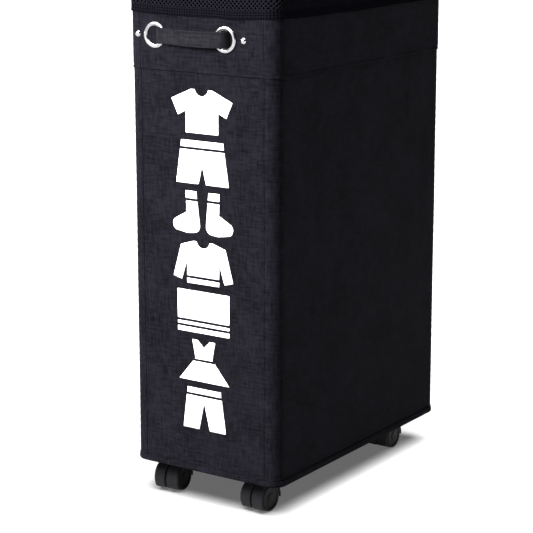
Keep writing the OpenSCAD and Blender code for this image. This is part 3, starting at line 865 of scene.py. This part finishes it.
def collar_sag(s):
    """How much lower the collar's free edge hangs than its hem line, most in the middle of each face."""
    x, y, nx, ny = BAG.at(s)
    along = x / HALF_W if abs(ny) > abs(nx) else y / HALF_D
    drop = 2.2 * MM * (1 - min(1, abs(along)) ** 2) - 0.6 * MM
    return drop + ripple((x, y, 0), 40 * MM, 0.7 * MM, 21)


def collar_stand(s, fall):
    """How far the hanging collar stands off the band: soft gathers that grow towards its free edge."""
    x, y, _, _ = BAG.at(s)
    gather = ripple((x, y, fall * 0.4), 22 * MM, 0.9 * MM, 31)
    gather += ripple((x, y, fall * 0.5), 9 * MM, 0.35 * MM, 37)
    return BAND_OUT + 1.0 * MM + (0.35 + 0.65 * smoothstep(fall / (40 * MM))) * gather


def collar_point(s, t):
    """A point t metres up the collar from its free edge: up outside, over the rim, and down inside."""
    bend = 2.6 * MM
    hang = TOP_Z - HEM_Z - bend + collar_sag(s)
    across = WALL_T + 2 * MM
    if t < hang:
        return BAG.point(s, collar_stand(s, hang - t), TOP_Z - bend - (hang - t))
    outer = BAG.point(s, collar_stand(s, 0), TOP_Z - bend)
    inner = inside_point(s, 0.9 * MM, TOP_Z - bend)
    over = min((t - hang) / across, 1)
    if t < hang + across:
        point = outer.lerp(inner, 0.5 - 0.5 * math.cos(math.pi * over))
        point.z += bend * math.sin(math.pi * over) ** 0.7 + 0.2 * MM * noise.noise(point / (9 * MM))
        return point
    depth = t - hang - across
    return inside_point(s, 0.9 * MM + 0.2 * MM * noise.noise(inner / (14 * MM)), TOP_Z - bend - depth)


def make_collar():
    """Net of crossing yarns, one piece for each face of the bag."""
    half_x, half_z = 2.5 * MM, 2.3 * MM
    full = TOP_Z - HEM_Z + WALL_T + 20 * MM
    columns = 2 * round(BAG.length / half_x / 8) * 4
    rows = round((full - HEM_H) / half_z)
    faces_of = {"front": [], "right": [], "back": [], "left": []}
    cuts = [BAG.flat_x + BAG.bend / 2, BAG.half - BAG.flat_x - BAG.bend / 2]
    cuts = [round(c / BAG.length * columns) for c in cuts]
    cuts += [c + columns // 2 for c in cuts]
    names = [list(faces_of)[sum(i >= cut for cut in cuts) % 4] for i in range(columns)]
    points = {}
    for i in range(columns):
        s = BAG.length * i / columns
        for j in range(rows + 1):
            if (i + j) % 2 == 0:
                jog = 0.28 * MM * noise.noise(Vector((i * 0.73, j * 0.61, 4.4)))
                points[i, j] = collar_point(s + jog, HEM_H - 1.2 * MM + j * half_z + jog)
    for i in range(columns):
        for j in range(1, rows):
            if (i + j) % 2:
                cell = [((i - 1) % columns, j), (i, j - 1), ((i + 1) % columns, j), (i, j + 1)]
                faces_of[names[i]].append(cell)
    for face_name, cells in faces_of.items():
        index, vertices, faces, uvs = {}, [], [], []
        for cell in cells:
            for key in cell:
                if key not in index:
                    index[key] = len(vertices)
                    vertices.append(points[key])
                uvs.append((key[0] * half_x, key[1] * half_z))
            faces.append(tuple(index[key] for key in cell))
        net = new_object("mesh_collar_" + face_name, vertices, faces, uvs)
        wire = net.modifiers.new("yarns", "WIREFRAME")
        wire.thickness = 1.25 * MM
        wire.use_even_offset = True
        wire.use_boundary = True
        wire.use_replace = True
        dress(net, "yarn", replaces=["mesh_collar"] if face_name == "front" else ())


def make_hem():
    """The collar's free edge, turned up twice and stitched."""
    ss = around(1.8 * MM)
    profile = [(0.2, 0.1), (0.0, -0.6), (0.03, -1.0), (0.12, -1.05), (0.3, -0.75), (0.55, -0.7), (0.78, -0.65),
               (0.9, -0.3), (0.97, -0.5), (1.0, -0.15), (0.98, 0.35)]
    rows, lengths = [], []
    for rise, out in profile:
        row = []
        for s in ss:
            base = collar_point(s, max(rise, 0) * HEM_H)
            _, _, nx, ny = BAG.at(s)
            gather = 1 + 0.3 * noise.noise(Vector((s / (5 * MM), rise, 2)))
            row.append(base - out * 0.75 * MM * gather * Vector((nx, ny, 0)))
        rows.append(row)
        lengths.append(rise * HEM_H)
    hem = thicken(wrap("collar_hem_knit", rows, ss, lengths), 0.6 * MM)
    dress(hem, "knit", replaces=["collar_hem"])


# ---------- inside ----------

def make_lining():
    ss = around(3 * MM)
    top, bottom = RIM_Z - 4 * MM, LINING_LOW
    zs = [top - (top - bottom) * i / 110 for i in range(111)]
    rows = []
    for z in zs:
        row = []
        for s in ss:
            x, y, _, _ = BAG.at(s)
            fade = smoothstep((top - z) / (30 * MM))
            wave = ripple((x, y, z * 0.5), 40 * MM, 0.9 * MM, 51) + ripple((x, y, z), 16 * MM, 0.3 * MM, 57)
            row.append(inside_point(s, -0.1 * MM + 0.5 * MM * fade + fade * max(wave, -0.4 * MM), z))
        rows.append(row)
    lining = thicken(wrap("lining_cloth", rows, ss, zs), 0.6 * MM)
    dress(lining, "lining", replaces=["lining"])


def make_insert():
    """Padded board on the floor of the bag: rounded edges, a sewn border and a slightly crowned top."""
    ss = around(4 * MM)
    gap = 0.9 * MM
    height = INSERT_TOP - LINING_LOW
    profile = [(0.0, 0.15, 3), (0.0, 0.03, 1), (0.0, 0.0, 0.2), (0.0, 0.12, 0), (0.0, 0.5, 0), (0.0, 0.86, 0.2),
               (0.0, 0.98, 1.2), (0.0, 1.0, 2.6), (0.0, 0.98, 6), (0.0, 0.9, 9), (0.0, 0.88, 10), (0.0, 0.9, 11),
               (0.1, 0.97, 12), (0.25, 1.0, 12), (0.5, 1.0, 12), (0.75, 1.0, 12), (0.94, 1.0, 12)]
    rows, lengths = [], [0.0]
    for shrink, rise, inset in profile:
        z = LINING_LOW + 0.1 * MM + (height - 0.1 * MM) * rise
        row = []
        for s in ss:
            p = inside_point(s, gap + inset * MM, z)
            p.x *= 1 - shrink
            p.y *= 1 - shrink
            if inset >= 12:
                p.z += ripple(p, 30 * MM, 0.35 * MM, 61)
            row.append(p)
        if rows:
            lengths.append(lengths[-1] + (row[0] - rows[-1][0]).length)
        rows.append(row)
    pad = wrap("floor_pad", rows, ss, lengths)
    cap_ends(pad, len(ss))
    dress(pad, "lining", replaces=["floor_insert"])


# ---------- handles ----------

def strap_body(points):
    """A cross-section's points with a puffed edge beyond the stitch line on each side."""
    outline = []
    for across, through in points:
        edge = STRAP_W / 2 - abs(across)
        puff = 1 + 0.22 * math.exp(-((edge - 0.9 * MM) / (0.8 * MM)) ** 2) - 0.25 * math.exp(
            -((edge - 2.2 * MM) / (0.35 * MM)) ** 2)
        outline.append((across, through * puff))
    return outline


def strap_ring():
    """The strap's closed cross-section: flat, with round folded edges."""
    half_w, half_t = STRAP_W / 2, STRAP_T / 2
    flat = [half_w - half_t - d * MM for d in (0, 0.5, 0.9, 1.3, 1.7, 2.2)] + [3.5 * MM, 1.2 * MM]
    top = [(x, half_t) for x in flat] + [(-x, half_t) for x in reversed(flat)]
    turns = [math.pi * k / 6 for k in range(1, 6)]
    left = [(-half_w + half_t - half_t * math.sin(a), half_t * math.cos(a)) for a in turns]
    return strap_body(top + left + [(-x, -y) for x, y in top + left])


def sweep_strap(name, path, bow=lambda t: 0.0):
    """A strap along path, a list of (point, outward) pairs. It stands on edge: its width is upright."""
    ring = strap_ring()
    rows, lengths = [], [0.0]
    for k, (point, outward) in enumerate(path):
        t = k / (len(path) - 1)
        row = []
        for across, through in ring:
            curl = bow(t) * (1 - (2 * across / STRAP_W) ** 2)
            squeeze = 1 - 0.12 * bow(t) / MM
            crease = ripple((across, k * 2 * MM, 0), 4.5 * MM, 0.5 * bow(t), 71)
            row.append(point + Vector((0, 0, across * squeeze)) + outward * (through + curl + crease))
        rows.append(row)
        if k:
            lengths.append(lengths[-1] + (point - path[k - 1][0]).length)
    around_it = [0.0]
    for a, b in zip(ring, ring[1:] + ring[:1]):
        around_it.append(around_it[-1] + math.hypot(b[0] - a[0], b[1] - a[1]))
    strap = loft(name, rows, around_it, lengths, closed=True)
    return cap_ends(strap, len(ring), face_outwards=True)


# The legs of a strap lie to the right in their eyelets, as the strap was last pulled.
LEG_X = {1: EYELET_X + 4.2 * MM, -1: EYELET_X - 4.4 * MM}


def grip_path():
    """Centreline of the grip and its two legs, with the outward side of the strap at each point."""
    face = STRAP_OUT - STRAP_T / 2
    low_face = BAND_FACE + 3.1 * MM
    end = INNER_D - 3 * MM
    ends = {}
    for side, radius, top in ((1, 7.2 * MM, face), (-1, 2.4 * MM, low_face)):
        leg_x, bend_y = LEG_X[side], top - radius
        ends[side] = [(Vector((leg_x, -(end + (bend_y - end) * k / 5), 0)), Vector((1, 0, 0)))
                      for k in range(6)]
        for k in range(1, 10):
            a = math.pi / 2 * k / 9
            outward = Vector((math.cos(a), -math.sin(a), 0))
            ends[side].append((Vector((leg_x - radius, -bend_y, 0)) + radius * outward, outward))
    left = [(Vector((-p.x, p.y, 0)), Vector((-o.x, o.y, 0))) for p, o in reversed(ends[-1])]
    first, last = ends[1][-1][0].x, left[0][0].x
    run = []
    for k in range(1, 24):
        across = k / 24
        y = face + (low_face - face) * smoothstep((across - 0.35) / 0.65)
        run.append((Vector((first + (last - first) * across, -y, 0)), Vector((0, -1, 0))))
    path = []
    for p, o in ends[1] + run + left:
        slack_drop = 0.9 * MM * (1 - (p.x / EYELET_X) ** 2)
        wave = 0.3 * MM * noise.noise(Vector((p.x / (22 * MM), 3.3, p.y / (30 * MM))))
        path.append((p + Vector((HANDLE_X, 0, HANDLE_Z - slack_drop)) + o * wave, o))
    return path


def tail_path(side):
    """One end of the strap: from its rivet, in a slack loop behind the eyelet, to the leg of the grip."""
    wall = INNER_D - STRAP_T / 2 - 0.2 * MM
    start, turn_y = EYELET_X + 30 * MM, INNER_D - 8 * MM
    washer = 1.4 * MM
    leg_x = LEG_X[side]
    points = [(start, wall), (EYELET_X + 24 * MM, wall), (EYELET_X + 18 * MM, wall),
              (EYELET_X + 13 * MM, wall - washer), (EYELET_X + 8 * MM, wall - washer - 1.4 * MM),
              (EYELET_X + 3.4 * MM, turn_y), (EYELET_X - 0.4 * MM, turn_y - 0.6 * MM),
              (leg_x, turn_y + 2.4 * MM), (leg_x, INNER_D - 1.5 * MM), (leg_x, INNER_D + 1 * MM)]
    smooth = catmull([Vector((x, -y, 0)) for x, y in points], 5)
    path = []
    for k, p in enumerate(smooth):
        q = smooth[min(k + 1, len(smooth) - 1)] - smooth[max(k - 1, 0)]
        outward = Vector((-q.y, q.x, 0)).normalized()
        path.append((Vector((HANDLE_X + side * p.x, p.y, HANDLE_Z)),
                     Vector((side * outward.x, outward.y, 0))))
    return path


def catmull(points, count):
    """A smooth line through points, with count steps between each two."""
    padded = [2 * points[0] - points[1]] + points + [2 * points[-1] - points[-2]]
    line = []
    for a, b, c, d in zip(padded, padded[1:], padded[2:], padded[3:]):
        for k in range(count):
            t = k / count
            line.append(0.5 * (2 * b + (c - a) * t + (2 * a - 5 * b + 4 * c - d) * t * t
                               + (3 * b - a - 3 * c + d) * t ** 3))
    return line + [points[-1]]


def lathe(name, profile, segments=72):
    """A ring turned about its own Z axis from (radius, height) points, closed round its section."""
    rows = []
    for r, h in profile + profile[:1]:
        rows.append([Vector((r * math.cos(a), r * math.sin(a), h))
                     for a in (2 * math.pi * i / segments for i in range(segments))])
    vertices = [p for row in rows[:-1] for p in row]
    faces = []
    count = len(profile)
    for j in range(count):
        k = (j + 1) % count
        for i in range(segments):
            m = (i + 1) % segments
            faces.append((j * segments + i, j * segments + m, k * segments + m, k * segments + i))
    return new_object(name, vertices, faces)


def eyelet_profile():
    """A pressed eyelet: a domed flange that rolls down at its rim and into the barrel."""
    outer, bore = EYELET_R, BORE_R
    middle, half = (outer + bore) / 2, (outer - bore) / 2
    crown = 1.7 * MM
    top = [(middle - half * math.cos(math.pi * k / 14), crown * math.sin(math.pi * k / 14) ** 0.85)
           for k in range(1, 14)]
    depth = WALL_T + BAND_OUT + 1.3 * MM
    return ([(bore + 0.1 * MM, -depth), (bore, -depth + 0.6 * MM), (bore, -1.2 * MM), (bore, 0)] + top +
            [(outer, -0.05 * MM), (outer - 0.4 * MM, -0.35 * MM), (bore + 1.6 * MM, -0.3 * MM),
             (bore + 0.9 * MM, -0.8 * MM), (bore + 0.8 * MM, -depth)])


def place_on_wall(item, x, y, z):
    """Stands an item on the front wall with its own Z outwards."""
    item.data.transform(Matrix.Translation((x, y, z)) @ Matrix.Rotation(math.radians(90), 4, "X"))


def turn_to_back(item):
    item.data.transform(Matrix.Rotation(math.pi, 4, "Z"))


def make_handle(end):
    """One handle with its eyelets, tails and stitches, at the front or turned round to the back."""
    back = end == "back"
    body = end + "_handle"
    grip = sweep_strap(end + "_grip", grip_path(),
                       lambda t: 1.1 * MM * (1 - smoothstep(min(t, 1 - t) / 0.14)))
    rows = []
    path = grip_path()
    run = [p for p, o in path if abs(o.y) > 0.5]
    for side in (1, -1):
        def place(t, side=side):
            x = run[0].x - t
            wave = min(path, key=lambda q: abs(q[0].x - x))[0]
            z = wave.z + side * (STRAP_W / 2 - 2.2 * MM)
            return Vector((x, -STRAP_OUT - 0.1 * MM, z)), Vector((0, -1, 0))
        rows.append((0.0, run[0].x - run[-1].x, place))
    stitches = stitch_rows(end + "_grip_stitches", rows)
    tails = [sweep_strap(f"{end}_strap_end_{name}", tail_path(side)) for side, name in ((1, "a"), (-1, "b"))]
    eyelets = []
    for side in (-1, 1):
        ring = lathe(end + "_eyelet", eyelet_profile())
        place_on_wall(ring, HANDLE_X + side * EYELET_X, -BAND_FACE - 0.25 * MM, HANDLE_Z)
        eyelets.append(ring)
    eyelets = join(end + "_eyelet_rings", eyelets)
    if back:
        for item in [grip, stitches, eyelets] + tails:
            turn_to_back(item)
    dress(grip, "strap", body, replaces=[end + "_handle_strap"])
    dress(stitches, "thread", body)
    dress(eyelets, "nickel", replaces=[end + "_eyelets"])
    for tail, side in zip(tails, (1, -1)):
        tail.data.materials.append(MATERIALS["strap"])
        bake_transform(tail)
    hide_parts("strap_tails")


# ---------- hardware carried over from the CAD ----------

def finish_cad_nodes():
    looks = {
        "board": ["base_board", "front_stiffener", "back_stiffener", "left_stiffener", "right_stiffener"],
        "rod": ["rim_hoop", "rod_front_left", "rod_front_right", "rod_back_left", "rod_back_right"],
        "fitting": ["rod_sockets", "hoop_clips"],
        "nickel": ["eyelet_washers", "handle_rivets", "rivet_caps"],
        "zinc": ["caster_stems", "stem_washers", "stem_nuts", "stem_clips"],
    }
    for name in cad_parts:
        if name.startswith("hood_"):
            looks.setdefault("hood", []).append(name)
        elif name.startswith("wheel_"):
            looks.setdefault("wheel", []).append(name)
        elif name.startswith("axle_"):
            looks["zinc"].append(name)
    for look, names in looks.items():
        for name in names:
            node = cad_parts[name]
            node.data.materials.clear()
            node.data.materials.append(MATERIALS[look])
            node.data.polygons.foreach_set("use_smooth", [True] * len(node.data.polygons))
            if look in ("hood", "wheel"):
                bevel = node.modifiers.new("moulded_edge", "BEVEL")
                bevel.width = 0.3 * MM
                bevel.segments = 2
                bevel.limit_method = "ANGLE"
                bevel.angle_limit = math.radians(40)
                bevel.harden_normals = True
            else:
                split = node.modifiers.new("crisp_edges", "EDGE_SPLIT")
                split.split_angle = math.radians(35)


# ---------- the scene ----------

MATERIALS = make_materials()
add_camera()
add_studio()
add_floor()
make_outer_cloth()
make_band()
make_rim()
make_binding()
make_underside()
make_seam_stitches()
make_print()
make_collar()
make_hem()
make_lining()
make_insert()
make_handle("front")
make_handle("back")
finish_cad_nodes()

bpy.context.view_layer.update()
